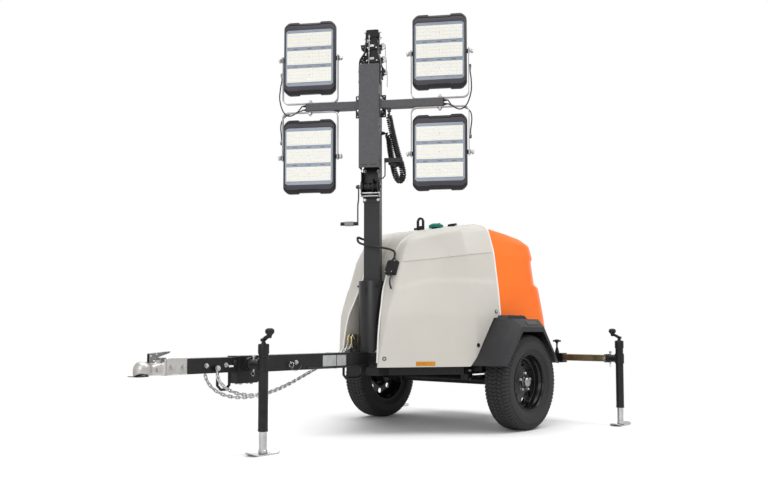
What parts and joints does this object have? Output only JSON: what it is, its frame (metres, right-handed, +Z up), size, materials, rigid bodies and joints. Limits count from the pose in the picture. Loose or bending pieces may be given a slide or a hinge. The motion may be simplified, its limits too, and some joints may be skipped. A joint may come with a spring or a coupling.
{
  "type": "mobile light tower",
  "caption": "Towable LED light tower: single-axle trailer with moulded canopy, turning telescopic mast, floodlights on a crossbar, drawbar and screw jacks.",
  "frame": {"origin": "on the floor, at the middle of the whole length and width", "axes": "+X to the trailer's left side, +Y to its rear, +Z up"},
  "size_m": [2.05, 3.139, 2.593],
  "materials": {
    "black_paint": "satin black paint",
    "charcoal_paint": "textured dark grey paint",
    "lamp_housing": "textured dark grey casting",
    "lamp_glass": "clear cover over white LED boards",
    "zinc": "zinc plated",
    "yellow_zinc": "yellow zinc plated",
    "beige_moulding": "moulded, semi-gloss",
    "orange_moulding": "moulded, semi-gloss",
    "green_plastic": "moulded",
    "cable_rubber": "matt black sheath",
    "tyre_rubber": "matt",
    "engine_grey": "painted"
  },
  "bodies": {
    "trailer": {"axle_beam": "black_paint", "ball_coupler": "zinc", "canopy_shell": "beige_moulding", "connector_box": "cable_rubber", "hood_hinge": "black_paint", "mast_cable": "cable_rubber", "chassis_rails": "black_paint", "coupler_lever": "zinc", "drawbar_front_tube": "black_paint", "drawbar_rear_tube": "black_paint", "engine_generator": "engine_grey", "fender_left": "charcoal_paint", "fender_right": "charcoal_paint", "floor_pan": "black_paint", "fuel_cap": "green_plastic", "leaf_spring_left": "black_paint", "leaf_spring_right": "black_paint", "lifting_eye": "black_paint", "mast_seat": "black_paint", "outrigger_housing": "black_paint", "safety_chain_left": "zinc", "safety_chain_right": "zinc"},
    "wheel_left_body": {"tyre_left": "tyre_rubber", "wheel_left": "black_paint"},
    "wheel_right_body": {"tyre_right": "tyre_rubber", "wheel_right": "black_paint"},
    "mast_base": {"mast_tube": "charcoal_paint", "winch_frame": "black_paint", "winch_crank": "zinc"},
    "mast_two": {"mast_section_two": "charcoal_paint"},
    "mast_three": {"mast_section_three": "charcoal_paint"},
    "lamp_head": {"mast_section_four": "charcoal_paint", "mast_cover": "charcoal_paint", "lamp_bar": "charcoal_paint", "yoke_upper_left": "charcoal_paint", "yoke_upper_right": "charcoal_paint", "yoke_lower_left": "charcoal_paint", "yoke_lower_right": "charcoal_paint", "curly_cord": "cable_rubber", "lamp_lead_upper_left": "cable_rubber", "lamp_lead_upper_right": "cable_rubber", "lamp_lead_lower_left": "cable_rubber", "lamp_lead_lower_right": "cable_rubber"},
    "hood": {"rear_hood": "orange_moulding"},
    "tongue_jack": {"tongue_jack_body": "black_paint"},
    "tongue_leg": {"tongue_jack_leg": "zinc"},
    "lamp_upper_left": {"lamp_upper_left_housing": "lamp_housing", "lamp_upper_left_lens": "lamp_glass"},
    "lamp_upper_right": {"lamp_upper_right_housing": "lamp_housing", "lamp_upper_right_lens": "lamp_glass"},
    "lamp_lower_left": {"lamp_lower_left_housing": "lamp_housing", "lamp_lower_left_lens": "lamp_glass"},
    "lamp_lower_right": {"lamp_lower_right_housing": "lamp_housing", "lamp_lower_right_lens": "lamp_glass"},
    "outrigger_left": {"outrigger_beam_left": "yellow_zinc"},
    "outrigger_jack_left": {"outrigger_jack_body_left": "black_paint"},
    "outrigger_leg_left": {"outrigger_jack_leg_left": "zinc"},
    "outrigger_right": {"outrigger_beam_right": "yellow_zinc"},
    "outrigger_jack_right": {"outrigger_jack_body_right": "black_paint"},
    "outrigger_leg_right": {"outrigger_jack_leg_right": "zinc"}
  },
  "joints": [
    {"name": "wheel_spin_left", "type": "hinge", "parent": "trailer", "child": "wheel_left_body", "pos_m": [0.6105, 0.8315, 0.305], "axis": [1, 0, 0], "continuous": true},
    {"name": "wheel_spin_right", "type": "hinge", "parent": "trailer", "child": "wheel_right_body", "pos_m": [-0.6105, 0.8315, 0.305], "axis": [1, 0, 0], "continuous": true},
    {"name": "mast_turn", "type": "hinge", "parent": "trailer", "child": "mast_base", "pos_m": [0, 0.0865, 0.7], "axis": [0, 0, 1], "range_deg": [-175, 175]},
    {"name": "mast_raise_two", "type": "slide", "parent": "mast_base", "child": "mast_two", "axis": [0, 0, 1], "range_m": [0, 1.45]},
    {"name": "mast_raise_three", "type": "slide", "parent": "mast_two", "child": "mast_three", "axis": [0, 0, 1], "range_m": [0, 1.45]},
    {"name": "mast_raise_head", "type": "slide", "parent": "mast_three", "child": "lamp_head", "axis": [0, 0, 1], "range_m": [0, 1.45]},
    {"name": "lamp_tilt_upper_left", "type": "hinge", "parent": "lamp_head", "child": "lamp_upper_left", "pos_m": [0.42564, 0.23448, 2.358], "axis": [0.8358, 0.549, 0], "range_deg": [-80, 80]},
    {"name": "lamp_tilt_upper_right", "type": "hinge", "parent": "lamp_head", "child": "lamp_upper_right", "pos_m": [-0.26139, -0.21681, 2.358], "axis": [0.8358, 0.549, 0], "range_deg": [-80, 80]},
    {"name": "lamp_tilt_lower_left", "type": "hinge", "parent": "lamp_head", "child": "lamp_lower_left", "pos_m": [0.42564, 0.23448, 1.728], "axis": [0.8358, 0.549, 0], "range_deg": [-80, 80]},
    {"name": "lamp_tilt_lower_right", "type": "hinge", "parent": "lamp_head", "child": "lamp_lower_right", "pos_m": [-0.26139, -0.21681, 1.728], "axis": [0.8358, 0.549, 0], "range_deg": [-80, 80]},
    {"name": "hood_lift", "type": "hinge", "parent": "trailer", "child": "hood", "pos_m": [0, 0.7345, 1.358], "axis": [1, 0, 0], "range_deg": [0, 60]},
    {"name": "tongue_jack_swing", "type": "hinge", "parent": "trailer", "child": "tongue_jack", "pos_m": [0.1, -0.9335, 0.459], "axis": [1, 0, 0], "range_deg": [0, 90]},
    {"name": "tongue_jack_screw", "type": "slide", "parent": "tongue_jack", "child": "tongue_leg", "axis": [0, 0, 1], "range_m": [0, 0.09]},
    {"name": "outrigger_slide_left", "type": "slide", "parent": "trailer", "child": "outrigger_left", "axis": [-1, 0, 0], "range_m": [0, 0.3]},
    {"name": "outrigger_jack_swing_left", "type": "hinge", "parent": "outrigger_left", "child": "outrigger_jack_left", "pos_m": [0.93, 1.4745, 0.447], "axis": [1, 0, 0], "range_deg": [0, 90]},
    {"name": "outrigger_jack_screw_left", "type": "slide", "parent": "outrigger_jack_left", "child": "outrigger_leg_left", "axis": [0, 0, 1], "range_m": [0, 0.09]},
    {"name": "outrigger_slide_right", "type": "slide", "parent": "trailer", "child": "outrigger_right", "axis": [1, 0, 0], "range_m": [0, 0.3]},
    {"name": "outrigger_jack_swing_right", "type": "hinge", "parent": "outrigger_right", "child": "outrigger_jack_right", "pos_m": [-0.93, 1.4745, 0.447], "axis": [1, 0, 0], "range_deg": [0, 90]},
    {"name": "outrigger_jack_screw_right", "type": "slide", "parent": "outrigger_jack_right", "child": "outrigger_leg_right", "axis": [0, 0, 1], "range_m": [0, 0.09]}
  ],
  "couplings": [
    {"joint": "mast_raise_three", "follows": "mast_raise_two", "ratio": 1},
    {"joint": "mast_raise_head", "follows": "mast_raise_two", "ratio": 1}
  ]
}
